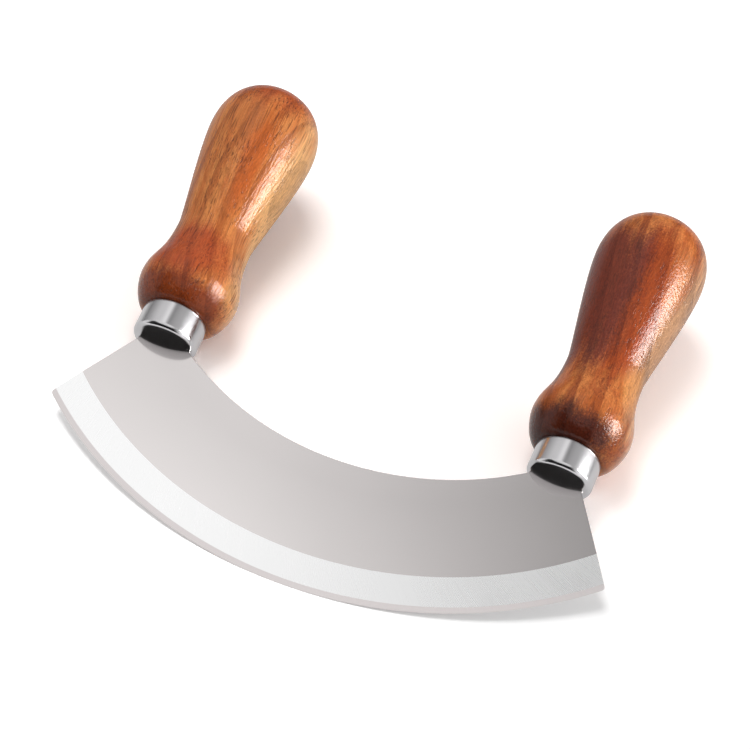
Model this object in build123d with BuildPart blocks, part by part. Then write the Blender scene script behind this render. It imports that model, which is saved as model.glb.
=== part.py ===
from build123d import *
from math import asin, atan, cos, degrees, radians, sin, sqrt, tan
import os

os.makedirs("parts", exist_ok=True)

# A two-handed curved chopper, lying as it does on a table: the middle of its edge and the
# two bulges of its grips touch the table. The blade is drawn flat, X along the chord and
# Y from the middle of the edge towards the grips, and that drawing plane is then leaned.

# Blade
blade_length = 180
edge_radius = 135.5
blade_depth = 44.7
back_radius = 95.9
end_angle = radians(31.4)
tip_rounding = 1.2
blank_thickness = 1.5
flat_thickness = 1.4
bevel_width = 11.5
strip_width = 1.85
strip_thickness = 0.7
edge_thickness = 0.1

# Where the grips stand on the blade: how far in from its ends, and how far above its shoulders
grip_inset = 24.7
shoulder_gap = 0.4
splay = radians(1.2)

# Neck and tang, measured across the axis of the grip
neck_inner_reach = 9.1
neck_outer_reach = 8.1
tang_width = 8
tang_length = 45
tang_rounding = 2

# Ferrule, a drawn cup with a shallow domed end
ferrule_diameter = 21
ferrule_length = 11.6
ferrule_wall = 0.8
dome_rise = 2
corner_rounding = 1.8
inner_corner_rounding = 1
rim_rounding = 0.35

# Grip, turned in one piece with the spigot that fills the ferrule
bulge_diameter = 32.4
bulge_height = 10.6
waist_diameter = 25.2
waist_height = 32.3
ball_diameter = 36
ball_height = 72.8
grip_length = 91.7
seat_overhang = 0.15
spigot_length = 8.2
spigot_chamfer = 1.2
bore_diameter = 9

# Fits
fit_clearance = 0.05
bore_end_gap = 2
flat_end_gap = 0.7
cutter_margin = 5

# How far each stretch of the grip's outline pulls its curve, as shares of the stretch
shoulder_shares = (0.53, 0.36)
throat_shares = (0.32, 0.65)
cone_shares = (0.1, 0.26)
cap_shares = (0.39, 0.86)
outline_steps = 60

tip_x = blade_length / 2
tip_y = edge_radius - sqrt(edge_radius**2 - tip_x**2)
back_centre_y = blade_depth + back_radius
ferrule_radius = ferrule_diameter / 2
ferrule_bore_radius = ferrule_radius - ferrule_wall
seat_radius = ferrule_radius + seat_overhang
bulge_radius = bulge_diameter / 2
waist_radius = waist_diameter / 2
ball_radius = ball_diameter / 2
bore_depth = tang_length + bore_end_gap


def ferrule_end_over(corner_height, reach, tilt):
    """Height of the ferrule's domed end at which it clears a shoulder of the blade."""
    return corner_height + shoulder_gap - dome_rise * (reach / ferrule_radius) ** 2 - reach * sin(tilt)


# The ferrules come down over the necks until they stand clear of both shoulders
grip_spacing = blade_length - 2 * grip_inset
ferrule_end_x = grip_spacing / 2 - ferrule_length * sin(splay)
back_shoulder_y = back_centre_y - sqrt(back_radius**2 - (ferrule_end_x - neck_inner_reach) ** 2)
end_shoulder_y = tip_y + (tip_x - ferrule_end_x - neck_outer_reach) / tan(end_angle)
rim_height = ferrule_length * cos(splay) + max(
    ferrule_end_over(back_shoulder_y, neck_inner_reach, splay),
    ferrule_end_over(end_shoulder_y, neck_outer_reach, -splay),
)
flat_end_y = rim_height - ferrule_length - flat_end_gap

# The axis of the right grip in the flat drawing, and a direction square to it
axis_foot = Vector(grip_spacing / 2, rim_height)
axis_up = Vector(sin(splay), cos(splay))
axis_out = Vector(cos(splay), -sin(splay))


def beside_axis(along, across):
    """Point of the flat drawing, measured from the rim of the right ferrule."""
    return axis_foot + axis_up * along + axis_out * across


def neck_corner_on_back():
    """Where the inner side of the neck leaves the hollow back of the blade."""
    start = beside_axis(0, -neck_inner_reach) - Vector(0, back_centre_y)
    reach = start.dot(axis_up)
    fall = reach + sqrt(reach**2 - start.dot(start) + back_radius**2)
    return beside_axis(-fall, -neck_inner_reach)


def neck_corner_on_end():
    """Where the outer side of the neck leaves the slanted end of the blade."""
    tip = Vector(tip_x, tip_y)
    end_line = Vector(-sin(end_angle), cos(end_angle))
    rise = (neck_outer_reach - (tip - axis_foot).dot(axis_out)) / end_line.dot(axis_out)
    return tip + end_line * rise


# Outline of one grip from the ferrule's rim to its pole: X is the radius, Y the height
with BuildLine() as grip_curve:
    shoulder_out, shoulder_up = shoulder_shares
    Bezier(
        (seat_radius, 0),
        (seat_radius + shoulder_out * (bulge_radius - seat_radius), 0),
        (bulge_radius, bulge_height * (1 - shoulder_up)),
        (bulge_radius, bulge_height),
    )
    throat = waist_height - bulge_height
    Bezier(
        (bulge_radius, bulge_height),
        (bulge_radius, bulge_height + throat_shares[0] * throat),
        (waist_radius, waist_height - throat_shares[1] * throat),
        (waist_radius, waist_height),
    )
    cone = ball_height - waist_height
    Bezier(
        (waist_radius, waist_height),
        (waist_radius, waist_height + cone_shares[0] * cone),
        (ball_radius, ball_height - cone_shares[1] * cone),
        (ball_radius, ball_height),
    )
    Bezier(
        (ball_radius, ball_height),
        (ball_radius, ball_height + cap_shares[0] * (grip_length - ball_height)),
        (ball_radius * cap_shares[1], grip_length),
        (0, grip_length),
    )

# The table touches the edge's lower corner and the grip's outline, which sets the lean
outline_points = [
    curve @ (step / outline_steps) for curve in grip_curve.edges() for step in range(outline_steps + 1)
]
lean = max(
    atan((point.X - edge_thickness / 2) / (rim_height + point.Y * cos(splay))) for point in outline_points
)
back_reach = max(
    (rim_height + point.Y * cos(splay)) * cos(lean) + point.X * sin(lean) for point in outline_points
)
front_reach = -edge_thickness / 2 * sin(lean)

rest = Plane(
    origin=(0, -(back_reach + front_reach) / 2, edge_thickness / 2 * cos(lean)),
    x_dir=(1, 0, 0),
    z_dir=(0, -sin(lean), cos(lean)),
)
edge_centre = rest.from_local_coords(Vector(0, edge_radius, 0))
edge_axis = Axis(edge_centre, rest.z_dir)
grip_plane = Plane(
    origin=rest.from_local_coords(axis_foot),
    x_dir=rest.x_dir * axis_out.X + rest.y_dir * axis_out.Y,
    z_dir=rest.z_dir,
)
grip_axis = Axis(grip_plane.origin, grip_plane.y_dir)
spigot_end = Plane(
    origin=grip_plane.from_local_coords(Vector(0, -spigot_length, 0)),
    x_dir=grip_plane.x_dir,
    z_dir=grip_plane.y_dir,
)

# Blade: a stamped crescent with its two tangs, ground flat and bevelled on both sides
back_corner = neck_corner_on_back()
end_corner = neck_corner_on_end()
back_sweep = degrees(asin(back_corner.X / back_radius))

with BuildPart() as blade:
    with BuildSketch(rest) as half_blank:
        with BuildLine():
            CenterArc((0, edge_radius), edge_radius, -90, degrees(asin(tip_x / edge_radius)))
            Line((tip_x, tip_y), end_corner)
            Polyline(
                end_corner,
                beside_axis(-spigot_length, neck_outer_reach),
                beside_axis(-spigot_length, tang_width / 2),
                beside_axis(tang_length - spigot_length, tang_width / 2),
                beside_axis(tang_length - spigot_length, -tang_width / 2),
                beside_axis(-spigot_length, -tang_width / 2),
                beside_axis(-spigot_length, -neck_inner_reach),
                back_corner,
            )
            CenterArc((0, back_centre_y), back_radius, back_sweep - 90, -back_sweep)
            Line((0, blade_depth), (0, 0))
        make_face()
        fillet(half_blank.vertices().sort_by(Axis.Y)[-2:], tang_rounding)
        fillet(half_blank.vertices().sort_by(Axis.X)[-1:], tip_rounding)
        mirror(about=Plane.YZ)
    extrude(amount=blank_thickness / 2, both=True)

    # The flats are ground below the stamped thickness, which stays at the necks and tangs
    flats_height = flat_end_y + cutter_margin
    for side in (1, -1):
        with BuildSketch(rest.offset(side * flat_thickness / 2)):
            with Locations((0, flat_end_y - flats_height / 2)):
                Rectangle(blade_length + cutter_margin, flats_height)
        extrude(amount=side * blank_thickness, mode=Mode.SUBTRACT)

    # A wide bevel and a narrow sharpened strip, turned about the centre of the edge
    with BuildSketch(Plane(origin=edge_centre, x_dir=rest.x_dir, z_dir=-rest.y_dir)):
        with BuildLine():
            Polyline(
                (edge_radius - bevel_width, flat_thickness / 2),
                (edge_radius - strip_width, strip_thickness / 2),
                (edge_radius, edge_thickness / 2),
                (edge_radius + cutter_margin, edge_thickness / 2),
                (edge_radius + cutter_margin, flat_thickness / 2 + cutter_margin),
                (edge_radius - bevel_width, flat_thickness / 2 + cutter_margin),
                close=True,
            )
        make_face()
        mirror(about=Plane.XZ)
    revolve(axis=edge_axis, mode=Mode.SUBTRACT)


def cup_half(radius, length, rounding):
    """Half of a cup's outline, closed on its axis, with a rounded and domed end."""
    dome_radius = (radius**2 + dome_rise**2) / (2 * dome_rise)
    with BuildSketch(mode=Mode.PRIVATE) as half:
        with BuildLine():
            CenterArc((0, dome_radius - length), dome_radius, -90, degrees(asin(radius / dome_radius)))
            Polyline((radius, dome_rise - length), (radius, 0), (0, 0), (0, -length))
        make_face()
        fillet(half.vertices().sort_by_distance((radius, dome_rise - length))[0], rounding)
    return half.sketch


# Ferrule: a chromed cup over the spigot, slotted at its end for the neck of the blade
with BuildPart() as ferrule_right:
    with BuildSketch(grip_plane):
        add(cup_half(ferrule_radius, ferrule_length, corner_rounding))
        add(cup_half(ferrule_bore_radius, ferrule_length - ferrule_wall, inner_corner_rounding),
            mode=Mode.SUBTRACT)
    revolve(axis=grip_axis)
    rim = ferrule_right.edges().filter_by(GeomType.CIRCLE).sort_by(grip_axis)[-2:]
    fillet(rim, rim_rounding)
    slot_reach = neck_inner_reach + neck_outer_reach + 2 * fit_clearance
    with BuildSketch(grip_plane):
        with Locations(((neck_outer_reach - neck_inner_reach) / 2, -ferrule_length)):
            Rectangle(slot_reach, ferrule_length)
    extrude(amount=blank_thickness / 2 + fit_clearance, both=True, mode=Mode.SUBTRACT)
ferrule_right.part.label = "ferrule_right"

# Grip: turned hardwood with its spigot and a blind bore for the tang
spigot_radius = ferrule_bore_radius - fit_clearance
with BuildPart() as handle_right:
    with BuildSketch(grip_plane):
        with BuildLine():
            add(grip_curve.line)
            Polyline(
                (0, grip_length),
                (0, -spigot_length),
                (spigot_radius - spigot_chamfer, -spigot_length),
                (spigot_radius, -spigot_length + spigot_chamfer),
                (spigot_radius, 0),
                (seat_radius, 0),
            )
        make_face()
    revolve(axis=grip_axis)
    with BuildSketch(spigot_end):
        Circle(bore_diameter / 2)
    extrude(amount=bore_depth, mode=Mode.SUBTRACT)
handle_right.part.label = "handle_right"

# Adhesive: fills the bore round the tang and past its end
with BuildPart() as tang_adhesive_right:
    with BuildSketch(spigot_end):
        Circle(bore_diameter / 2)
    extrude(amount=bore_depth)
    add(blade.part, mode=Mode.SUBTRACT)
tang_adhesive_right.part.label = "tang_adhesive_right"

with BuildPart() as ferrule_left:
    mirror(ferrule_right.part, about=Plane.YZ)
ferrule_left.part.label = "ferrule_left"

with BuildPart() as handle_left:
    mirror(handle_right.part, about=Plane.YZ)
handle_left.part.label = "handle_left"

with BuildPart() as tang_adhesive_left:
    mirror(tang_adhesive_right.part, about=Plane.YZ)
tang_adhesive_left.part.label = "tang_adhesive_left"

blade.part.label = "blade"

export_step(blade.part, "parts/blade.step")
export_step(ferrule_left.part, "parts/ferrule_left.step")
export_step(ferrule_right.part, "parts/ferrule_right.step")
export_step(handle_left.part, "parts/handle_left.step")
export_step(handle_right.part, "parts/handle_right.step")
export_step(tang_adhesive_left.part, "parts/tang_adhesive_left.step")
export_step(tang_adhesive_right.part, "parts/tang_adhesive_right.step")

# It rests with its weight between the edge and the two bulges
print("lean of the blade plane, degrees:", round(degrees(lean), 2))
print("height of the ferrules' rims:", round(rim_height, 3))
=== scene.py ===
import bmesh
import bpy
import numpy as np
from math import radians
from mathutils import Matrix, Vector


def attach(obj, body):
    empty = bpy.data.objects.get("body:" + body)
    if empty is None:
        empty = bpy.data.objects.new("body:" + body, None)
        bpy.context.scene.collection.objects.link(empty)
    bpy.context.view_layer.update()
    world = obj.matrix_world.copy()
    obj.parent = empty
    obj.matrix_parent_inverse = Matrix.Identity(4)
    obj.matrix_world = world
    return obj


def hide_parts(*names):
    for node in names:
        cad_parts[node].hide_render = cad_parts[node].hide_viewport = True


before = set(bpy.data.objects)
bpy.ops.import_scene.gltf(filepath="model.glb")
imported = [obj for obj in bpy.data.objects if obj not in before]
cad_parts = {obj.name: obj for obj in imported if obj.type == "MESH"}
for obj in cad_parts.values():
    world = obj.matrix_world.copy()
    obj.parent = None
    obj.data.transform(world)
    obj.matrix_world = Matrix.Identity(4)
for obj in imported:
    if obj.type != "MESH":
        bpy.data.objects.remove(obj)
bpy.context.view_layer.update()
mm = 0.001
weldDistance = 0.0005 * mm

# sizes in millimetres and degrees, the same as the solids have; then how finely each piece is
# divided, and the angle from which an edge of it is shaded sharp
bladeSize = {
    "length": 180, "edgeRadius": 135.5, "depth": 44.7, "backRadius": 95.9, "endAngle": 31.4,
    "tipRounding": 1.2, "thickness": 1.4, "bevelWidth": 11.5, "stripWidth": 1.85,
    "stripThickness": 0.7, "edgeThickness": 0.1, "edgeBreak": 0.12,
    "neckInner": 9.1, "neckOuter": 8.1, "tangWidth": 8, "tangLength": 45, "tangRounding": 2,
    "stripRows": 8, "bevelRows": 5, "flatRows": 5, "sharpAngle": 1.2,
    "backSteps": 70, "neckSteps": 6, "shoulderSteps": 8, "tangSteps": 16, "turnSteps": 6, "cornerSteps": 10,
    # the tang's outline is ruled to places on the bevel's upper line, so far outwards of its
    # inner side and so far inwards of its outer side
    "ruledInner": (0.4, 0.2, 0.9, 2), "ruledOuter": (2, 1.5, 0.8, 0.6, 0.2),
}
ferruleSize = {
    "diameter": 21, "length": 11.6, "wall": 0.8, "rise": 2, "corner": 1.8, "innerCorner": 1, "rim": 0.35,
    "around": 160, "cupSteps": 16, "innerCupSteps": 8, "rimSteps": 7, "sharpAngle": 32,
}
gripSize = {
    "spacing": 130.6, "rimHeight": 73.023, "splay": 1.2,
    "seat": 10.65, "bulge": (16.2, 10.6), "waist": (12.6, 32.3), "ball": (18, 72.8), "length": 91.7,
    "shoulder": (0.53, 0.36), "throat": (0.32, 0.65), "cone": (0.1, 0.26), "cap": (0.39, 0.86),
    "spigotRadius": 9.65, "spigotLength": 8.2, "spigotChamfer": 1.2, "boreRadius": 4.5, "boreDepth": 47,
    "around": 168, "curveSteps": 56, "sharpAngle": 32,
}


def bezier(start, pullStart, pullEnd, end, steps):
    # cubic curve: its four points weighted by (1-t)^3, 3t(1-t)^2, 3t^2(1-t) and t^3
    t = np.linspace(0, 1, steps)[:, None]
    weights = [(1 - t) ** 3, 3 * t * (1 - t) ** 2, 3 * t**2 * (1 - t), t**3]
    return sum(w * np.array(p, float) for w, p in zip(weights, (start, pullStart, pullEnd, end)))


def gripOutline(size):
    # radius and height of the turned grip: four curves in a row over seat, bulge, waist, ball and pole
    (bulgeR, bulgeH), (waistR, waistH), (ballR, ballH) = size["bulge"], size["waist"], size["ball"]
    seat, top, steps = size["seat"], size["length"], size["curveSteps"]
    out, up = size["shoulder"]
    throat, cone, cap = waistH - bulgeH, ballH - waistH, top - ballH
    parts = [
        bezier((seat, 0), (seat + out * (bulgeR - seat), 0),
               (bulgeR, bulgeH * (1 - up)), (bulgeR, bulgeH), steps),
        bezier((bulgeR, bulgeH), (bulgeR, bulgeH + size["throat"][0] * throat),
               (waistR, waistH - size["throat"][1] * throat), (waistR, waistH), steps),
        bezier((waistR, waistH), (waistR, waistH + size["cone"][0] * cone),
               (ballR, ballH - size["cone"][1] * cone), (ballR, ballH), steps),
        bezier((ballR, ballH), (ballR, ballH + size["cap"][0] * cap),
               (ballR * size["cap"][1], top), (0, top), steps),
    ]
    return np.concatenate([parts[0]] + [p[1:] for p in parts[1:]])


# how it rests: the plane of the blade leans until the bulges of the grips touch the table
outline = gripOutline(gripSize)
splay = radians(gripSize["splay"])
halfEdge = bladeSize["edgeThickness"] / 2
standing = gripSize["rimHeight"] + outline[:, 1] * np.cos(splay)
lean = float(np.max(np.arctan((outline[:, 0] - halfEdge) / standing)))
backReach = float(np.max(standing * np.cos(lean) + outline[:, 0] * np.sin(lean)))
leanTurn = Matrix.Rotation(lean, 4, "X")
restPlace = Vector((0, -(backReach - halfEdge * np.sin(lean)) / 2, halfEdge * np.cos(lean))) * mm
print("blade leans", round(float(np.degrees(lean)), 2), "degrees")


def toTable(flat):
    # points of the flat drawing, turned about X by the lean and set on the table, in metres
    turn = np.array(leanTurn.to_3x3())
    return (np.asarray(flat) * mm) @ turn.T + np.array(restPlace)


def gripMatrix(side):
    # frame of one grip: X across it, Y from the ferrule's rim to the ball, Z off the blade's face
    foot = Vector((side * gripSize["spacing"] / 2, gripSize["rimHeight"], 0)) * mm
    tilt = Matrix.Rotation(-side * splay, 4, "Z")
    return Matrix.Translation(restPlace) @ leanTurn @ Matrix.Translation(foot) @ tilt


def meshObject(name, points, faces, sharpAngle=30, zones=None):
    # faces is a list of index arrays, one row for each face; zones number each face's material
    mesh = bpy.data.meshes.new(name)
    loops = np.concatenate([f.reshape(-1) for f in faces]).astype(np.int32)
    totals = np.concatenate([np.full(len(f), f.shape[1]) for f in faces])
    starts = (np.cumsum(totals) - totals).astype(np.int32)
    mesh.vertices.add(len(points))
    mesh.loops.add(len(loops))
    mesh.polygons.add(len(totals))
    mesh.vertices.foreach_set("co", np.asarray(points, np.float32).reshape(-1))
    mesh.loops.foreach_set("vertex_index", loops)
    mesh.polygons.foreach_set("loop_start", starts)
    if zones is not None:
        mesh.polygons.foreach_set("material_index", zones)
    mesh.update(calc_edges=True)
    weld = bmesh.new()                                   # joins the points that meet at corners
    weld.from_mesh(mesh)
    bmesh.ops.remove_doubles(weld, verts=weld.verts, dist=weldDistance)
    weld.to_mesh(mesh)
    weld.free()
    mesh.shade_smooth()
    mesh.set_sharp_from_angle(angle=radians(sharpAngle))
    made = bpy.data.objects.new(name, mesh)
    bpy.context.scene.collection.objects.link(made)
    return made


def gridFaces(rows, columns, closeRows=False, closeColumns=False):
    # quads between neighbours in a grid of points numbered row by row
    lastRow, lastColumn = rows - (not closeRows), columns - (not closeColumns)
    r, c = np.meshgrid(np.arange(lastRow), np.arange(lastColumn), indexing="ij")
    nextR, nextC = (r + 1) % rows, (c + 1) % columns
    corners = [r * columns + c, r * columns + nextC, nextR * columns + nextC, nextR * columns + c]
    return np.stack(corners, -1).reshape(-1, 4)


def turnedPiece(name, profile, side, size):
    # a profile of radius and height from pole to pole, turned about the grip's Y:
    # X = radius * cos(angle), Y = height, Z = radius * sin(angle)
    around = size["around"]
    angle = np.linspace(0, 2 * np.pi, around, endpoint=False)
    radius, height = profile[1:-1, :1], profile[1:-1, 1:]
    level = np.repeat(height, around, 1)
    rings = np.stack([radius * np.cos(angle), level, radius * np.sin(angle)], -1)
    poles = np.array([[0, profile[0, 1], 0], [0, profile[-1, 1], 0]])
    points = np.concatenate([rings.reshape(-1, 3), poles]) * mm
    place = np.array(gripMatrix(side))
    points = points @ place[:3, :3].T + place[:3, 3]
    count = len(rings)
    here, after = np.arange(around), (np.arange(around) + 1) % around
    lastRing = (count - 1) * around
    fans = [
        np.stack([after, here, np.full(around, count * around)], -1),
        np.stack([here + lastRing, after + lastRing, np.full(around, count * around + 1)], -1),
    ]
    return meshObject(name, points, [gridFaces(count, around, closeColumns=True), *fans], size["sharpAngle"])


def cupOutline(radius, length, rise, corner, steps):
    # from the pole out: a shallow dome, then the corner's arc, tangent to the dome and to the side
    dome = (radius**2 + rise**2) / (2 * rise)
    cornerX = radius - corner
    cornerY = dome - length - np.sqrt((dome - corner) ** 2 - cornerX**2)
    reach = np.arctan2(cornerX, dome - length - cornerY)
    a = np.linspace(0, reach, steps)
    b = np.linspace(reach, np.pi / 2, steps)[1:]
    domeArc = np.stack([dome * np.sin(a), dome - length - dome * np.cos(a)], -1)
    cornerArc = np.stack([cornerX + corner * np.sin(b), cornerY - corner * np.cos(b)], -1)
    return np.concatenate([domeArc, cornerArc])


def ferruleOutline(size):
    # outer cup, rounded rim and inner cup, one line from the outer pole to the inner one
    outerR, rim = size["diameter"] / 2, size["rim"]
    innerR = outerR - size["wall"]
    outer = cupOutline(outerR, size["length"], size["rise"], size["corner"], size["cupSteps"])
    inner = cupOutline(innerR, size["length"] - size["wall"], size["rise"], size["innerCorner"],
                       size["innerCupSteps"])
    q = np.linspace(0, np.pi / 2, size["rimSteps"])
    rimOut = np.stack([outerR - rim + rim * np.cos(q), rim * np.sin(q) - rim], -1)
    rimIn = np.stack([innerR + rim - rim * np.sin(q), rim * np.cos(q) - rim], -1)
    return np.concatenate([outer, rimOut, rimIn, inner[::-1]])


def gripProfile(size):
    # the outside from the top pole down, then the seat, the spigot and the blind bore
    spigotR, down, cut = size["spigotRadius"], size["spigotLength"], size["spigotChamfer"]
    bore, end = size["boreRadius"], size["boreDepth"] - size["spigotLength"]
    inside = [(spigotR, 0), (spigotR, cut - down), (spigotR - cut, -down),
              (bore, -down), (bore, end), (0, end)]
    return np.concatenate([gripOutline(size)[::-1], np.array(inside, float)])


def onAxis(along, across):
    # point of the flat drawing, measured from the rim of the right ferrule; across counts outwards
    up, out = np.array([np.sin(splay), np.cos(splay)]), np.array([np.cos(splay), -np.sin(splay)])
    foot = np.array([gripSize["spacing"] / 2, gripSize["rimHeight"]])
    return foot + np.multiply.outer(along, up) + np.multiply.outer(across, out)


def slantedEnd(size):
    # tip of the blade, direction of its slanted end, and the direction square to that, outwards
    x, turn = size["length"] / 2, radians(size["endAngle"])
    tip = np.array([x, size["edgeRadius"] - np.sqrt(size["edgeRadius"] ** 2 - x**2)])
    return tip, np.array([-np.sin(turn), np.cos(turn)]), np.array([np.cos(turn), np.sin(turn)])


def endAngleAt(size, depth):
    # angle about the edge's centre at which the row this deep ends: on the slanted end, or, near
    # the tip, on the rounding's circle, which touches both the edge and the slanted end
    tip, _, outward = slantedEnd(size)
    edgeR, q = size["edgeRadius"], size["tipRounding"]
    offset = (tip - [0, edgeR]) @ outward
    turn = radians(size["endAngle"])
    lineAngle = np.arcsin(offset / (edgeR - depth)) + turn
    middleR = edgeR - q
    middleAngle = np.arcsin((offset - q) / middleR) + turn
    cosine = ((edgeR - depth) ** 2 + middleR**2 - q**2) / (2 * (edgeR - depth) * middleR)
    roundAngle = middleAngle + np.arccos(np.clip(cosine, -1, 1))
    middle = middleR * np.array([np.sin(middleAngle), -np.cos(middleAngle)])
    touch = edgeR - np.linalg.norm(middle + q * outward)
    return np.where(depth < touch, roundAngle, lineAngle)


def run(start, end, steps):
    # evenly spaced points of a straight line, without its first one
    return start + np.linspace(0, 1, steps + 1)[1:, None] * (end - start)


def bladeUpper(size):
    # right half of the line opposite the edge: hollow back, neck, tang and neck again; with it
    # the place along the bevel's upper line, in mm from the middle, that each point is ruled to
    down = -gripSize["spigotLength"]
    top, half, q = down + size["tangLength"], size["tangWidth"] / 2, size["tangRounding"]
    inner, outer, backR = -size["neckInner"], size["neckOuter"], size["backRadius"]
    up, out = onAxis(1, 0) - onAxis(0, 0), onAxis(0, 1) - onAxis(0, 0)
    centre = np.array([0, size["depth"] + backR])
    start = onAxis(0, inner) - centre
    fall = start @ up + np.sqrt((start @ up) ** 2 - start @ start + backR**2)
    backCorner = onAxis(-fall, inner)
    tip, slant, _ = slantedEnd(size)
    endCorner = tip + slant * (outer - (tip - onAxis(0, 0)) @ out) / (slant @ out)
    sweep = np.linspace(0, np.arcsin(backCorner[0] / backR), size["backSteps"])
    arc = np.linspace(0, np.pi / 2, size["turnSteps"])
    innerTurn = onAxis(top - q + q * np.sin(arc), -half + q - q * np.cos(arc))
    outerTurn = onAxis(top - q + q * np.cos(arc), half - q + q * np.sin(arc))
    aboveCorner = endCorner + up * size["edgeBreak"] / 2
    bevelR = size["edgeRadius"] - size["bevelWidth"]
    last = bevelR * np.sin(endAngleAt(size, size["bevelWidth"]))
    neckSteps, shoulderSteps, tangSteps = size["neckSteps"], size["shoulderSteps"], size["tangSteps"]
    neckIn, tangIn, tangOut, neckOut = (onAxis(down, across) for across in (inner, -half, half, outer))
    fromInner, fromOuter = size["ruledInner"], size["ruledOuter"]
    stretches = [
        (centre + backR * np.stack([np.sin(sweep), -np.cos(sweep)], -1), backCorner[0]),
        (run(backCorner, neckIn, neckSteps), backCorner[0] + fromInner[0]),
        (run(neckIn, tangIn, shoulderSteps), tangIn[0] + fromInner[1]),
        (run(tangIn, innerTurn[0], tangSteps), tangIn[0] + fromInner[2]),
        (innerTurn[1:], tangIn[0] + fromInner[3]),
        (run(innerTurn[-1], outerTurn[0], shoulderSteps), tangOut[0] - fromOuter[0]),
        (outerTurn[1:], tangOut[0] - fromOuter[1]),
        (run(outerTurn[-1], tangOut, tangSteps), tangOut[0] - fromOuter[2]),
        (run(tangOut, neckOut, shoulderSteps), neckOut[0] - fromOuter[3]),
        (run(neckOut, aboveCorner, neckSteps), aboveCorner[0] - fromOuter[4]),
        (run(aboveCorner, endCorner, size["cornerSteps"]), last),
    ]
    below, reached = [np.linspace(0, stretches[0][1], len(stretches[0][0]))], stretches[0][1]
    for points, target in stretches[1:]:
        below.append(np.linspace(reached, target, len(points) + 1)[1:])
        reached = target
    share = np.arcsin(np.concatenate(below) / bevelR) / np.arcsin(last / bevelR)
    return np.concatenate([points for points, _ in stretches]), share


def bladeSurface(name, size):
    # one face is a grid: rows of equal depth from the edge up to the bevel's upper line, then
    # straight lines on to the back, neck and tang; its height off the middle plane grows with the
    # depth over the strip and the bevel, then stays; thin walls join it to its mirror image
    upper, share = bladeUpper(size)
    upper = np.concatenate([upper[:0:-1] * [-1, 1], upper])
    share = np.concatenate([-share[:0:-1], share])
    cut, half, edgeR = size["edgeBreak"], size["thickness"] / 2, size["edgeRadius"]
    tip = slantedEnd(size)[0]
    steps = np.concatenate([[upper[0] - tip * [-1, 1]], np.diff(upper, axis=0), [tip - upper[-1]]])
    square = np.stack([-steps[:, 1], steps[:, 0]], -1) / np.linalg.norm(steps, axis=1)[:, None]
    miter = (square[:-1] + square[1:]) / (1 + np.sum(square[:-1] * square[1:], 1))[:, None]
    inset = upper - cut * miter

    stripRows, bevelRows, flatRows = size["stripRows"], size["bevelRows"], size["flatRows"]
    depth = np.concatenate([
        np.linspace(0, size["stripWidth"], stripRows + 1),
        np.linspace(size["stripWidth"], size["bevelWidth"], bevelRows + 1)[1:],
    ])
    height = np.interp(depth, [0, size["stripWidth"], size["bevelWidth"]],
                       [halfEdge, size["stripThickness"] / 2, half])
    rowCut = np.minimum(cut, height / 2)
    reach, ends = edgeR - depth, endAngleAt(size, depth)
    angle = share * (ends - rowCut / reach)[:, None]
    angle = np.concatenate([-ends[:, None], angle, ends[:, None]], 1)
    low = np.stack([reach[:, None] * np.sin(angle), edgeR - reach[:, None] * np.cos(angle)], -1)
    mix = np.linspace(0, 1, flatRows + 1)[1:, None, None]
    target = np.concatenate([upper[:1], inset, upper[-1:]])
    high = low[-1] * (1 - mix) + target * mix
    wallTop = np.concatenate([upper[:1], upper, upper[-1:]])[None]
    rows = np.concatenate([low, high, wallTop])

    z = np.concatenate([height, np.full(len(high), half), [half - cut]])[:, None] + np.zeros(rows.shape[:2])
    z[:-1, [0, -1]] -= np.concatenate([rowCut, np.full(len(high), cut)])[:, None]

    count, columns = z.shape
    face = np.concatenate([rows, z[..., None]], -1)
    points = np.concatenate([face, face[::-1] * [1, 1, -1]]).reshape(-1, 3)
    quads = gridFaces(2 * count, columns, closeRows=True)
    here = np.arange(count - 1) * columns
    mirrored = (2 * count - 1 - np.arange(count - 1)) * columns
    leftWall = np.stack([here, here + columns, mirrored - columns, mirrored], -1)
    rightWall = leftWall[:, ::-1] + columns - 1
    strip, bevel, flat = range(3)                        # materials of the rows; the walls take the last
    groundRows = stripRows + bevelRows
    rowZone = np.full(2 * count, flat)
    rowZone[:groundRows] = rowZone[2 * count - groundRows - 1:-1] = bevel
    rowZone[:stripRows] = rowZone[2 * count - stripRows - 1:] = strip
    zones = np.concatenate([np.repeat(rowZone, columns - 1), np.full(2 * (count - 1), flat)])
    return meshObject(name, toTable(points), [quads, leftWall, rightWall], size["sharpAngle"],
                      zones.astype(np.int32))


ferruleRight = turnedPiece("ferruleRight", ferruleOutline(ferruleSize)[::-1], 1, ferruleSize)
ferruleLeft = turnedPiece("ferruleLeft", ferruleOutline(ferruleSize)[::-1], -1, ferruleSize)
gripRight = turnedPiece("gripRight", gripProfile(gripSize), 1, gripSize)
gripLeft = turnedPiece("gripLeft", gripProfile(gripSize), -1, gripSize)
bladeSteel = bladeSurface("bladeSteel", bladeSize)
print("meshes made:", [(o.name, len(o.data.polygons)) for o in (ferruleRight, gripRight, bladeSteel)])


def addNode(tree, kind, inputs=None, **settings):
    # a node with its settings; an input is either a value or another node's output
    made = tree.nodes.new(kind)
    for name, value in settings.items():
        setattr(made, name, value)
    for socket, value in (inputs or {}).items():
        if isinstance(value, bpy.types.NodeSocket):
            tree.links.new(value, made.inputs[socket])
        else:
            made.inputs[socket].default_value = value
    return made


def calc(tree, operation, *values, clamp=False):
    made = addNode(tree, "ShaderNodeMath", dict(enumerate(values)), operation=operation, use_clamp=clamp)
    return made.outputs[0]


def vectorCalc(tree, operation, *values):
    return addNode(tree, "ShaderNodeVectorMath", dict(enumerate(values)), operation=operation).outputs[0]


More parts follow.
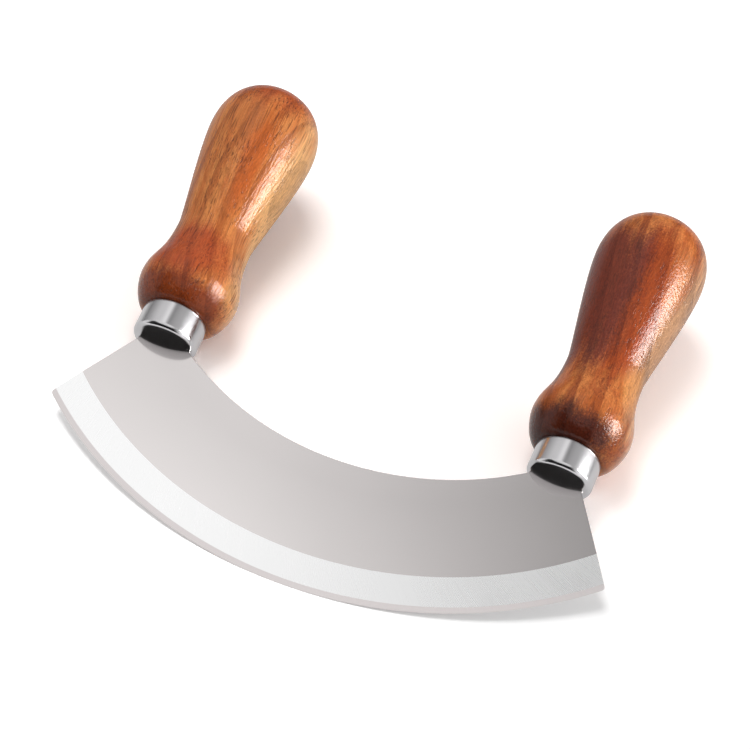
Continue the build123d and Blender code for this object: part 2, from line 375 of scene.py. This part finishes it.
def spread(tree, value, low, high, start=0.0, end=1.0, smooth=True):
    # start below low, end above high, and an even or a smooth step between them
    inputs = {0: value, 1: low, 2: high, 3: start, 4: end}
    shape = "SMOOTHSTEP" if smooth else "LINEAR"
    return addNode(tree, "ShaderNodeMapRange", inputs, interpolation_type=shape).outputs[0]


def blendColours(tree, share, first, second, kind="MIX"):
    inputs = {0: share, 6: first, 7: second}
    return addNode(tree, "ShaderNodeMix", inputs, data_type="RGBA", blend_type=kind).outputs[2]


def blendLevels(tree, share, first, second):
    return addNode(tree, "ShaderNodeMix", {0: share, 2: first, 3: second}).outputs[0]


def greyOf(tree, level):
    return addNode(tree, "ShaderNodeCombineColor", {0: level, 1: level, 2: level}).outputs[0]


def lengthOf(tree, vector):
    return addNode(tree, "ShaderNodeVectorMath", {0: vector}, operation="LENGTH").outputs["Value"]


def noiseOf(tree, vector, detail, roughness=0.5):
    inputs = {"Vector": vector, "Scale": 1.0, "Detail": detail, "Roughness": roughness}
    return addNode(tree, "ShaderNodeTexNoise", inputs).outputs


def newGroup(name, inputs, outputs):
    group = bpy.data.node_groups.new(name, "ShaderNodeTree")
    for label, value in inputs.items():
        kind = {3: "NodeSocketVector", 4: "NodeSocketColor"}.get(np.size(value), "NodeSocketFloat")
        group.interface.new_socket(label, in_out="INPUT", socket_type=kind).default_value = value
    for label, kind in outputs.items():
        group.interface.new_socket(label, in_out="OUTPUT", socket_type=kind)
    return group, group.nodes.new("NodeGroupInput").outputs, group.nodes.new("NodeGroupOutput")


def newMaterial(name, constants):
    made = bpy.data.materials.new(name)
    made.use_nodes = True
    shader = made.node_tree.nodes["Principled BSDF"]
    for socket, value in constants.items():
        shader.inputs[socket].default_value = value
    return made, made.node_tree, shader


def pieceVector(tree, matrix):
    # Object coordinates seen from a piece's own frame, in metres
    place = addNode(tree, "ShaderNodeMapping", {
        "Vector": tree.nodes.new("ShaderNodeTexCoord").outputs["Object"],
        "Location": matrix.to_translation(), "Rotation": matrix.to_euler(),
    }, vector_type="TEXTURE")
    return place.outputs[0]


# turned wood under clear lacquer
patchNumbers = ("First", "Second", "Third", "Fourth", "Fifth")
woodPattern = {
    # features in a metre across and along the grip, then the noise's detail and roughness
    "waves": (34, 16, 1.5), "streaks": (190, 9, 3.0, 0.6), "lines": (640, 16, 2.0, 0.6),
    "fibres": (1900, 70, 2.0, 0.7), "clouds": (60, 32, 2.0), "speckle": (1900, 1300, 2.0, 0.7),
    "pores": (2500, 65, 1.0), "poreCrowd": (170, 30, 1.0),
    "dimples": (1400, 1000, 1.0), "ridges": (1200, 55, 1.0),
    # how far the waves push the grain, and the parts of a growth ring in which late wood grows and ends
    "waveReach": (0.006, 0.0, 0.006), "lateWood": (0.55, 0.97), "ringEnd": (0.97, 1.0),
    # what turns the wood amber: the limits of the grain, then the weights of rings and clouds
    "lineShare": 0.5, "amber": (0.37, 0.63), "ringAmber": 0.6, "cloudAmber": 0.9,
    # how ragged the patches are: weights of streaks, clouds and speckle, and their mean
    "ragged": (0.7, 1.1, 0.5), "raggedMean": 1.15, "patchEdge": (0.62, 1.25),
    "fibreTone": (0.32, 0.68, 0.78, 1.2), "poreEdge": (0.58, 0.66), "crowdEdge": (0.38, 0.55),
    "poreShare": 0.8, "poreColour": (0.06, 0.014, 0.006, 1.0), "poreDepth": 0.3, "dullness": (0.3, 0.7),
}


def grainNoise(tree, vector, across, along, detail, roughness=0.5):
    # noise stretched along the grip, with so many features in a metre
    return noiseOf(tree, vectorCalc(tree, "MULTIPLY", vector, (across, along, across)), detail, roughness)


def buildWoodGroup(pattern):
    # growth rings round a pith beside the grip, wavy streaks along it, ragged patches of other
    # colours, among them painted shade and painted light, and short dark pores; the same solid pattern runs
    # on round the ends
    inputs = {
        "Vector": (0.0, 0.0, 0.0), "Offset": (0.0, 0.0, 0.0),
        "Pale": (0.7, 0.3, 0.1, 1.0), "Amber": (0.5, 0.15, 0.04, 1.0), "Ring Count": 260.0,
        "Pith": (0.03, 0.0, 0.02), "Ring Weight": (1.0, 0.5, 1.0), "Ring Tone": 0.22,
        "Pores": 1.0, "Mottle": 0.3, "Peel": 0.4, "Grain": 0.3,
    }
    for number in patchNumbers:
        inputs.update({
            number + " Place": (0.0, 0.0, 0.0), number + " Reach": (0.01, 0.01, 0.01),
            number + " Patch": (0.2, 0.05, 0.02, 1.0), number + " Share": 0.5,
        })
    group, given, out = newGroup("turnedWood", inputs, {
        "Colour": "NodeSocketColor", "Height": "NodeSocketFloat", "Dullness": "NodeSocketFloat"})
    place = vectorCalc(group, "ADD", given["Vector"], given["Offset"])
    waves = grainNoise(group, place, *pattern["waves"])["Color"]
    waves = vectorCalc(group, "SUBTRACT", waves, (0.5, 0.5, 0.5))
    wavy = vectorCalc(group, "ADD", place, vectorCalc(group, "MULTIPLY", waves, pattern["waveReach"]))

    streaks = grainNoise(group, wavy, *pattern["streaks"])["Fac"]
    lines = grainNoise(group, wavy, *pattern["lines"])["Fac"]
    fibres = grainNoise(group, wavy, *pattern["fibres"])["Fac"]
    clouds = grainNoise(group, place, *pattern["clouds"])["Fac"]
    speckle = grainNoise(group, place, *pattern["speckle"])["Fac"]

    toPith = vectorCalc(group, "SUBTRACT", wavy, given["Pith"])
    distance = lengthOf(group, vectorCalc(group, "MULTIPLY", toPith, given["Ring Weight"]))
    ring = calc(group, "FRACT", calc(group, "MULTIPLY", distance, given["Ring Count"]))
    ringEnd = calc(group, "MULTIPLY", spread(group, ring, *pattern["lateWood"]),
                   spread(group, ring, *pattern["ringEnd"], 1.0, 0.0))

    grain = calc(group, "ADD", calc(group, "MULTIPLY", streaks, 1 - pattern["lineShare"]),
                 calc(group, "MULTIPLY", lines, pattern["lineShare"]))
    amber = calc(group, "ADD", spread(group, grain, *pattern["amber"]),
                 calc(group, "MULTIPLY", ringEnd, pattern["ringAmber"]))
    cloudAmber = calc(group, "MULTIPLY", calc(group, "SUBTRACT", clouds, 0.5), pattern["cloudAmber"])
    amber = calc(group, "ADD", amber, cloudAmber, clamp=True)
    colour = blendColours(group, amber, given["Pale"], given["Amber"])

    ragged = calc(group, "MULTIPLY", streaks, pattern["ragged"][0])
    for noise, weight in zip((clouds, speckle), pattern["ragged"][1:]):
        ragged = calc(group, "ADD", ragged, calc(group, "MULTIPLY", noise, weight))
    ragged = calc(group, "SUBTRACT", ragged, pattern["raggedMean"])
    # each patch blends in a colour of its own: some are the wood's colours, some painted shade, some painted
    # light
    for number in patchNumbers:
        away = vectorCalc(group, "SUBTRACT", given["Vector"], given[number + " Place"])
        away = lengthOf(group, vectorCalc(group, "DIVIDE", away, given[number + " Reach"]))
        inside = spread(group, calc(group, "ADD", away, ragged), *pattern["patchEdge"], 1.0, 0.0)
        inside = calc(group, "MULTIPLY", inside, given[number + " Share"])
        colour = blendColours(group, inside, colour, given[number + " Patch"])

    mottle = calc(group, "MULTIPLY", calc(group, "SUBTRACT", speckle, 0.5), given["Mottle"])
    tone = calc(group, "ADD", spread(group, fibres, *pattern["fibreTone"], smooth=False), mottle)
    tone = calc(group, "SUBTRACT", tone, calc(group, "MULTIPLY", ringEnd, given["Ring Tone"]))
    colour = blendColours(group, 1.0, colour, greyOf(group, tone), "MULTIPLY")

    poreNoise = grainNoise(group, wavy, *pattern["pores"])["Fac"]
    poreCrowd = grainNoise(group, place, *pattern["poreCrowd"])["Fac"]
    pores = calc(group, "MULTIPLY", spread(group, poreNoise, *pattern["poreEdge"]),
                 spread(group, poreCrowd, *pattern["crowdEdge"]))
    pores = calc(group, "MULTIPLY", pores, given["Pores"], clamp=True)
    poreShare = calc(group, "MULTIPLY", pores, pattern["poreShare"])
    group.links.new(blendColours(group, poreShare, colour, pattern["poreColour"]), out.inputs["Colour"])

    dimples = grainNoise(group, place, *pattern["dimples"])["Fac"]
    ridges = grainNoise(group, wavy, *pattern["ridges"])["Fac"]
    relief = calc(group, "ADD", calc(group, "MULTIPLY", dimples, given["Peel"]),
                  calc(group, "MULTIPLY", ridges, given["Grain"]))
    relief = calc(group, "SUBTRACT", relief, calc(group, "MULTIPLY", pores, pattern["poreDepth"]))
    group.links.new(relief, out.inputs["Height"])
    group.links.new(speckle, out.inputs["Dullness"])
    return group


woodGroup = buildWoodGroup(woodPattern)


def lacqueredWood(name, side, look):
    material, tree, shader = newMaterial(name, {"IOR": look["lacquer"], "Specular IOR Level": look["sheen"]})
    patches = {}
    for number, (place, reach, colour, share) in zip(patchNumbers, look["patches"]):
        patches[number + " Place"] = Vector(place) * mm
        patches[number + " Reach"] = Vector(reach) * mm
        patches[number + " Patch"], patches[number + " Share"] = (*colour, 1.0), share
    inputs = {"Vector": pieceVector(tree, gripMatrix(side)), **look["wood"], **patches}
    wood = addNode(tree, "ShaderNodeGroup", inputs, node_tree=woodGroup).outputs
    tree.links.new(wood["Colour"], shader.inputs["Base Color"])
    roughness = spread(tree, wood["Dullness"], *woodPattern["dullness"], *look["roughness"])
    tree.links.new(roughness, shader.inputs["Roughness"])
    bump = addNode(tree, "ShaderNodeBump", {
        "Height": wood["Height"], "Strength": look["grainStrength"], "Distance": look["grainDepth"] * mm,
    })
    tree.links.new(bump.outputs[0], shader.inputs["Normal"])
    return material


leftGripLook = {
    "lacquer": 1.45, "sheen": 0.28, "roughness": (0.16, 0.25), "grainStrength": 1.0, "grainDepth": 0.2,
    "wood": {
        "Offset": (0.0, 0.0, 0.0), "Pale": (0.60, 0.215, 0.058, 1.0), "Amber": (0.47, 0.135, 0.033, 1.0),
        "Ring Count": 150.0, "Pith": (0.034, 0.045, 0.006), "Pores": 0.8, "Mottle": 0.5,
        "Peel": 0.25, "Grain": 0.8,
    },
    # middle and reach in mm from the ferrule's rim, colour and strength
    "patches": (
        # paler wood along the right side, made paler still as painted light and painted sheen where the side
        # light and the highlight streak fall
        ((18, 50, 1), (10, 46, 16), (0.78, 0.44, 0.19), 0.8),
        ((4.0, 50, 17), (4.5, 27, 9), (0.48, 0.10, 0.017), 0.8),
        ((-1, 18, 13), (13, 12.5, 15), (0.35, 0.050, 0.012), 0.85),
        # painted shade on the bulge beside the ferrule, where its underside turns away from the light
        ((0, 1, 13), (20, 7.5, 16), (0.20, 0.03, 0.006), 0.92),
        ((-2, 95, 3), (20, 24, 22), (0.33, 0.055, 0.012), 0.9),
    ),
}
rightGripLook = {
    "lacquer": 1.45, "sheen": 0.28, "roughness": (0.15, 0.22), "grainStrength": 1.0, "grainDepth": 0.15,
    "wood": {
        "Offset": (0.31, 0.17, 0.05), "Pale": (0.56, 0.18, 0.045, 1.0), "Amber": (0.37, 0.085, 0.019, 1.0),
        "Ring Count": 120.0, "Pith": (-0.05, 0.03, 0.03), "Pores": 0.6, "Mottle": 0.85,
        "Peel": 0.8, "Grain": 0.15,
    },
    "patches": (
        # paler wood along the right side, made paler still as painted light and painted sheen where the side
        # light and the highlight streak fall
        ((17.5, 45, -1), (12, 46, 17), (0.46, 0.28, 0.16), 0.75),
        ((3, 50, 14), (8, 26, 11), (0.30, 0.044, 0.009), 0.85),
        ((-15, 52, 7), (17, 28, 24), (0.15, 0.023, 0.011), 0.95),
        # painted shade on the bulge beside the ferrule, where its underside turns away from the light
        ((-4, 2, 9), (20, 8, 18), (0.06, 0.009, 0.005), 0.95),
        ((17, 24, 8), (10, 9, 14), (0.70, 0.27, 0.06), 0.6),
    ),
}


# steel: fine lines from the wheel, with soft clouds of handling over them; painted shade darkens the flats
# towards the back
grindPattern = {
    # detail and roughness of the lines, detail of the clouds, and the depths in metres over which
    # painted shade makes the flats darker towards the back
    "lines": (3.0, 0.65), "clouds": 2.0, "paintedBackShade": (0.012, 0.036),
}


def buildGrindGroup(pattern):
    # Along runs round the edge's centre and Depth from the edge towards the back, both in metres
    group, given, out = newGroup("groundSteel", {
        "Vector": (0.0, 0.0, 0.0), "Edge Radius": 0.1355, "Along Count": 4000.0, "Depth Count": 60.0,
        "Slant": 0.0, "Cloud Count": 40.0, "Tone": (0.6, 0.6, 0.6, 1.0), "Line Share": 0.1,
        "Cloud Share": 0.05, "Rough": 0.3, "Rough Change": 0.08, "Painted Back Shade": 0.0,
    }, {"Colour": "NodeSocketColor", "Roughness": "NodeSocketFloat", "Height": "NodeSocketFloat"})
    parts = addNode(group, "ShaderNodeSeparateXYZ", {0: given["Vector"]}).outputs
    turn = calc(group, "ARCTAN2", parts[0], calc(group, "MULTIPLY", parts[1], -1.0))
    along = calc(group, "MULTIPLY", turn, given["Edge Radius"])
    flatVector = addNode(group, "ShaderNodeCombineXYZ", {0: parts[0], 1: parts[1]}).outputs[0]
    depth = calc(group, "SUBTRACT", given["Edge Radius"], lengthOf(group, flatVector))
    slanted = calc(group, "ADD", along, calc(group, "MULTIPLY", depth, given["Slant"]))
    lineVector = addNode(group, "ShaderNodeCombineXYZ", {
        0: calc(group, "MULTIPLY", slanted, given["Along Count"]),
        1: calc(group, "MULTIPLY", depth, given["Depth Count"]), 2: parts[2],
    }).outputs[0]
    lines = noiseOf(group, lineVector, *pattern["lines"])["Fac"]
    cloudVector = addNode(group, "ShaderNodeVectorMath", {0: given["Vector"], "Scale": given["Cloud Count"]},
                          operation="SCALE").outputs[0]
    clouds = noiseOf(group, cloudVector, pattern["clouds"])["Fac"]
    lineTone = calc(group, "MULTIPLY", calc(group, "SUBTRACT", lines, 0.5), given["Line Share"])
    cloudTone = calc(group, "MULTIPLY", calc(group, "SUBTRACT", clouds, 0.5), given["Cloud Share"])
    tone = calc(group, "ADD", calc(group, "ADD", lineTone, cloudTone), 1.0)
    # painted shade: the tone grows darker with the depth towards the back
    back = spread(group, depth, *pattern["paintedBackShade"], smooth=False)
    tone = calc(group, "SUBTRACT", tone, calc(group, "MULTIPLY", back, given["Painted Back Shade"]))
    colour = blendColours(group, 1.0, given["Tone"], greyOf(group, tone), "MULTIPLY")
    group.links.new(colour, out.inputs["Colour"])
    change = calc(group, "SUBTRACT", calc(group, "ADD", lines, clouds), 1.0)
    change = calc(group, "MULTIPLY", change, given["Rough Change"])
    group.links.new(calc(group, "ADD", given["Rough"], change), out.inputs["Roughness"])
    group.links.new(lines, out.inputs["Height"])
    return group


grindGroup = buildGrindGroup(grindPattern)
edgeCentre = Matrix.Translation(Vector(toTable((0, bladeSize["edgeRadius"], 0)))) @ leanTurn


def groundMetal(name, matrix, look):
    material, tree, shader = newMaterial(name, {"Metallic": 1.0})
    inputs = {"Vector": pieceVector(tree, matrix), **look["grind"]}
    ground = addNode(tree, "ShaderNodeGroup", inputs, node_tree=grindGroup).outputs
    tree.links.new(ground["Colour"], shader.inputs["Base Color"])
    tree.links.new(ground["Roughness"], shader.inputs["Roughness"])
    bump = addNode(tree, "ShaderNodeBump", {
        "Height": ground["Height"], "Strength": look["lineStrength"], "Distance": look["lineDepth"] * mm,
    })
    tree.links.new(bump.outputs[0], shader.inputs["Normal"])
    return material


steelLooks = {
    "edgeStrip": {"lineStrength": 0.3, "lineDepth": 0.02, "grind": {
        "Along Count": 5200.0, "Depth Count": 300.0, "Slant": 0.3, "Tone": (0.70, 0.655, 0.65, 1.0),
        "Line Share": 0.16, "Rough": 0.36, "Rough Change": 0.12}},
    "primaryBevel": {"lineStrength": 0.3, "lineDepth": 0.02, "grind": {
        "Along Count": 3600.0, "Depth Count": 70.0, "Slant": 0.55, "Tone": (0.86, 0.86, 0.86, 1.0),
        "Line Share": 0.06, "Rough": 0.28, "Rough Change": 0.08}},
    # the flats carry painted shade that darkens them towards the back
    "satinFlat": {"lineStrength": 0.2, "lineDepth": 0.01, "grind": {
        "Along Count": 60.0, "Depth Count": 4200.0, "Slant": 0.0, "Tone": (0.568, 0.539, 0.533, 1.0),
        "Line Share": 0.03, "Painted Back Shade": 0.13, "Rough": 0.12, "Rough Change": 0.03}},
}
chromeLook = {"lineStrength": 0.1, "lineDepth": 0.01, "grind": {
    "Edge Radius": 0.0105, "Along Count": 300.0, "Depth Count": 900.0, "Cloud Count": 180.0,
    "Tone": (0.55, 0.54, 0.55, 1.0), "Line Share": 0.03, "Cloud Share": 0.06,
    "Rough": 0.19, "Rough Change": 0.05}}
# the glue in the grips, cloudy between two tones
resinLook = {
    "constants": {"IOR": 1.55, "Roughness": 0.2}, "count": (300.0, 300.0, 300.0), "detail": 3.0,
    "dark": (0.62, 0.50, 0.27, 1.0), "light": (0.74, 0.64, 0.42, 1.0),
}


def clearResin(look):
    material, tree, shader = newMaterial("clearResin", look["constants"])
    place = tree.nodes.new("ShaderNodeTexCoord").outputs["Object"]
    cloud = noiseOf(tree, vectorCalc(tree, "MULTIPLY", place, look["count"]), look["detail"])["Fac"]
    tree.links.new(blendColours(tree, cloud, look["dark"], look["light"]), shader.inputs["Base Color"])
    return material


for name, look in steelLooks.items():
    bladeSteel.data.materials.append(groundMetal(name, edgeCentre, look))
ferruleTurn = Matrix.Rotation(radians(90), 4, "X")       # the lines run round the grip's axis
for side, ferrule, grip, name, look in (
    (-1, ferruleLeft, gripLeft, "Left", leftGripLook), (1, ferruleRight, gripRight, "Right", rightGripLook),
):
    ferrule.data.materials.append(groundMetal("chrome" + name, gripMatrix(side) @ ferruleTurn, chromeLook))
    grip.data.materials.append(lacqueredWood("wood" + name, side, look))
resin = clearResin(resinLook)
for node in ("tang_adhesive_left", "tang_adhesive_right"):
    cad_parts[node].data.materials.clear()
    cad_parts[node].data.materials.append(resin)
print("materials made")

# pieces and the nodes that they stand for
for piece, node, slot in (
    (bladeSteel, "blade", "blade_steel"),
    (ferruleLeft, "ferrule_left", "ferrule_chrome"), (ferruleRight, "ferrule_right", "ferrule_chrome"),
    (gripLeft, "handle_left", "grip_wood"), (gripRight, "handle_right", "grip_wood"),
):
    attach(piece, "root")
    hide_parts(node)

# table, light and camera; a pair of numbers is where a change starts and where it ends, in metres on
# the table, as a share of the direction's X, Y or Z in the room, or in degrees from the zenith
table = {
    "size": 8.0, "colour": (0.5, 0.5, 0.5, 1.0),
    # how light the camera sees it: behind the blade, with a warm tint that paints warm light into the grips'
    # shadows;
    # before the blade's left end, lighter, painting light over the end's shadow; before its right end,
    # darker, painted shade under the tip; and far off
    "behind": (1.27, 1.20, 1.17, 1.0), "left": 1.8, "right": 0.96, "away": (5.0, 5.0, 5.0, 1.0),
    "ends": (-0.07, 0.07), "edge": (-0.05, -0.015), "farOff": (0.18, 0.6),
    # what it adds in polished surfaces, in front and near the ferrules; it adds nothing farther back
    "glowFront": 1.3, "glowNear": 0.38, "glowChange": (-0.22, -0.12), "glowEnd": (0.02, 0.05),
}
room = {
    # how light matt surfaces see it
    "left": 0.4, "right": 0.66, "sides": (-0.6, 0.6), "front": 0.7, "depth": (-0.6, 0.1),
    # what polished surfaces mirror: degrees from the zenith, left below zero, and the brightness there
    "mirror": ((-90, 0.3), (-70, 0.55), (-45, 0.92), (-27, 0.95), (-13, 1.42), (-8, 1.0), (-3, 0.44),
               (1, 0.34), (8, 0.5), (20, 0.62), (36, 0.66), (50, 1.0), (62, 1.35), (76, 1.5), (90, 1.2)),
    "mirrorTop": 1.5,
    # the plain back, the patch overhead and the strip light
    "horizon": 0.12, "back": 0.6, "backHeight": (0.1, 0.5), "backDepth": (0.5, 0.75),
    "zenith": 1.1, "zenithDepth": (0.0, 0.14), "zenithSide": (0.3, 0.5),
    "strip": 33.0, "stripPower": 1.4, "stripRise": (43, 69), "stripFall": (74, 98),
    "stripBack": (0.24, 0.4), "stripFront": (-0.2, 0.05),
    # the dark front over a pale skirting, and where it ends: in depth, overhead, right and left
    "dark": 0.015, "skirting": 1.3, "skirtingHeight": (-0.03, 0.04),
    "darkDepth": (-0.17, -0.04), "darkHeight": (0.74, 0.79),
    "darkRight": (0.4, 0.65), "darkLeft": (-0.92, -0.78),
}
softboxes = {
    # middle, point it faces, size across and along, and brightness of its face
    "key": {"place": (-0.27, 0.26, 0.92), "aim": (0.0, 0.0, 0.0), "size": (0.5, 0.5), "level": 7.2},
    "lowFill": {"place": (0.95, 0.05, 0.24), "aim": (0.0, 0.0, 0.02), "size": (0.5, 0.3), "level": 14.0},
}
photoCamera = {
    "place": (0.1308, -0.49295, 0.57669), "turn": (41.688, -5.265, 20.879),
    "lens": 117.14, "sensor": 36.0, "clip": (0.01, 50),
}
white = (1.0, 1.0, 1.0, 1.0)


def tableTop(look):
    half = look["size"] / 2
    corners = np.array([[-half, -half, 0], [half, -half, 0], [half, half, 0], [-half, half, 0]])
    top = meshObject("tableTop", corners, [np.array([[0, 1, 2, 3]])])
    material = bpy.data.materials.new("paleTable")
    material.use_nodes = True
    tree = material.node_tree
    tree.nodes.remove(tree.nodes["Principled BSDF"])
    rays = tree.nodes.new("ShaderNodeLightPath").outputs
    fromMiddle = tree.nodes.new("ShaderNodeTexCoord").outputs["Object"]
    place = addNode(tree, "ShaderNodeSeparateXYZ", {0: fromMiddle}).outputs
    # what the camera sees: painted light before the blade's left end, painted shade before its right end,
    # and a warm tint that paints warm light into the grips' shadows
    front = spread(tree, place[0], *look["ends"], look["left"], look["right"])
    near = blendColours(tree, spread(tree, place[1], *look["edge"]), greyOf(tree, front), look["behind"])
    away = spread(tree, lengthOf(tree, fromMiddle), *look["farOff"])
    seen = blendColours(tree, away, near, look["away"])
    colour = blendColours(tree, rays["Is Camera Ray"], look["colour"], seen)
    plain = addNode(tree, "ShaderNodeBsdfDiffuse", {"Color": colour}).outputs[0]
    mirrored = spread(tree, place[1], *look["glowChange"], look["glowFront"], look["glowNear"])
    mirrored = calc(tree, "MULTIPLY", mirrored, spread(tree, place[1], *look["glowEnd"], 1.0, 0.0))
    glow = addNode(tree, "ShaderNodeEmission", {
        "Color": white, "Strength": calc(tree, "MULTIPLY", rays["Is Glossy Ray"], mirrored),
    }).outputs[0]
    both = addNode(tree, "ShaderNodeAddShader", {0: plain, 1: glow}).outputs[0]
    tree.links.new(both, tree.nodes["Material Output"].inputs["Surface"])
    top.data.materials.append(material)


def studioWorld(look):
    # matt surfaces get an even room, brighter on the right; polished ones mirror the levels above,
    # turned about the line from front to back, with a strip light on the right, a plain back and a
    # dark front that ends at both sides and overhead; the camera sees white
    world = bpy.data.worlds.new("studio")
    bpy.context.scene.world = world
    world.use_nodes = True
    tree = world.node_tree
    generated = tree.nodes.new("ShaderNodeTexCoord").outputs["Generated"]
    x, y, z = addNode(tree, "ShaderNodeSeparateXYZ", {0: generated}).outputs
    matt = spread(tree, x, *look["sides"], look["left"], look["right"])
    matt = calc(tree, "MULTIPLY", matt, spread(tree, y, *look["depth"], look["front"], 1.0))

    ramp = tree.nodes.new("ShaderNodeValToRGB")
    tilt = calc(tree, "ARCTAN2", x, z)
    tree.links.new(spread(tree, tilt, -np.pi / 2, np.pi / 2, smooth=False), ramp.inputs[0])
    stops, top = ramp.color_ramp.elements, look["mirrorTop"]
    places = [angle / 180 + 0.5 for angle, _ in look["mirror"]]
    for place in places[1:-1]:
        stops.new(place)
    for stop, place, (_, level) in zip(stops, places, look["mirror"]):
        stop.position = place
        stop.color = (level / top, level / top, level / top, 1.0)
    around = calc(tree, "MULTIPLY", ramp.outputs[0], top)

    back = spread(tree, z, *look["backHeight"], look["horizon"], look["back"])
    around = blendLevels(tree, spread(tree, y, *look["backDepth"]), around, back)
    overhead = calc(tree, "MULTIPLY", spread(tree, y, *look["zenithDepth"], 1.0, 0.0),
                    spread(tree, x, *look["zenithSide"], 1.0, 0.0))
    around = blendLevels(tree, overhead, around, look["zenith"])
    strip = spread(tree, tilt, *map(radians, look["stripRise"]))
    for value, limits, start, end in (
        (tilt, map(radians, look["stripFall"]), 1.0, 0.0),
        (y, look["stripBack"], 1.0, 0.0), (y, look["stripFront"], 0.0, 1.0),
    ):
        strip = calc(tree, "MULTIPLY", strip, spread(tree, value, *limits, start, end))
    strip = calc(tree, "MULTIPLY", calc(tree, "POWER", strip, look["stripPower"]), look["strip"])
    around = calc(tree, "ADD", around, strip)

    lit = spread(tree, y, *look["darkDepth"])
    for value, limits in ((z, look["darkHeight"]), (x, look["darkRight"])):
        lit = calc(tree, "MAXIMUM", lit, spread(tree, value, *limits))
    lit = calc(tree, "MAXIMUM", lit, spread(tree, x, *look["darkLeft"], 1.0, 0.0))
    dark = spread(tree, z, *look["skirtingHeight"], look["skirting"], look["dark"])
    polished = blendLevels(tree, lit, dark, around)
    rays = tree.nodes.new("ShaderNodeLightPath").outputs
    level = greyOf(tree, blendLevels(tree, rays["Is Glossy Ray"], matt, polished))
    colour = blendColours(tree, rays["Is Camera Ray"], level, white)
    tree.links.new(colour, tree.nodes["Background"].inputs["Color"])


def addSoftbox(name, box):
    # lights matt surfaces; polished ones mirror the room alone
    lamp = bpy.data.lights.new(name, "AREA")
    lamp.shape = "RECTANGLE"
    lamp.size, lamp.size_y = box["size"]
    lamp.energy = box["level"] * np.pi * box["size"][0] * box["size"][1]
    made = bpy.data.objects.new(name, lamp)
    bpy.context.scene.collection.objects.link(made)
    place = Vector(box["place"])
    turn = (Vector(box["aim"]) - place).to_track_quat("-Z", "Y").to_matrix().to_4x4()
    made.matrix_world = Matrix.Translation(place) @ turn
    made.visible_glossy = False


def addCamera(name, settings):
    camera = bpy.data.cameras.new(name)
    camera.lens, camera.sensor_width = settings["lens"], settings["sensor"]
    camera.clip_start, camera.clip_end = settings["clip"]
    made = bpy.data.objects.new(name, camera)
    made.location = settings["place"]
    made.rotation_euler = [radians(a) for a in settings["turn"]]
    bpy.context.scene.collection.objects.link(made)
    bpy.context.scene.camera = made


tableTop(table)
studioWorld(room)
for name, box in softboxes.items():
    addSoftbox(name, box)
addCamera("photoCamera", photoCamera)
bpy.context.scene.view_settings.view_transform = "Standard"
print("studio made")
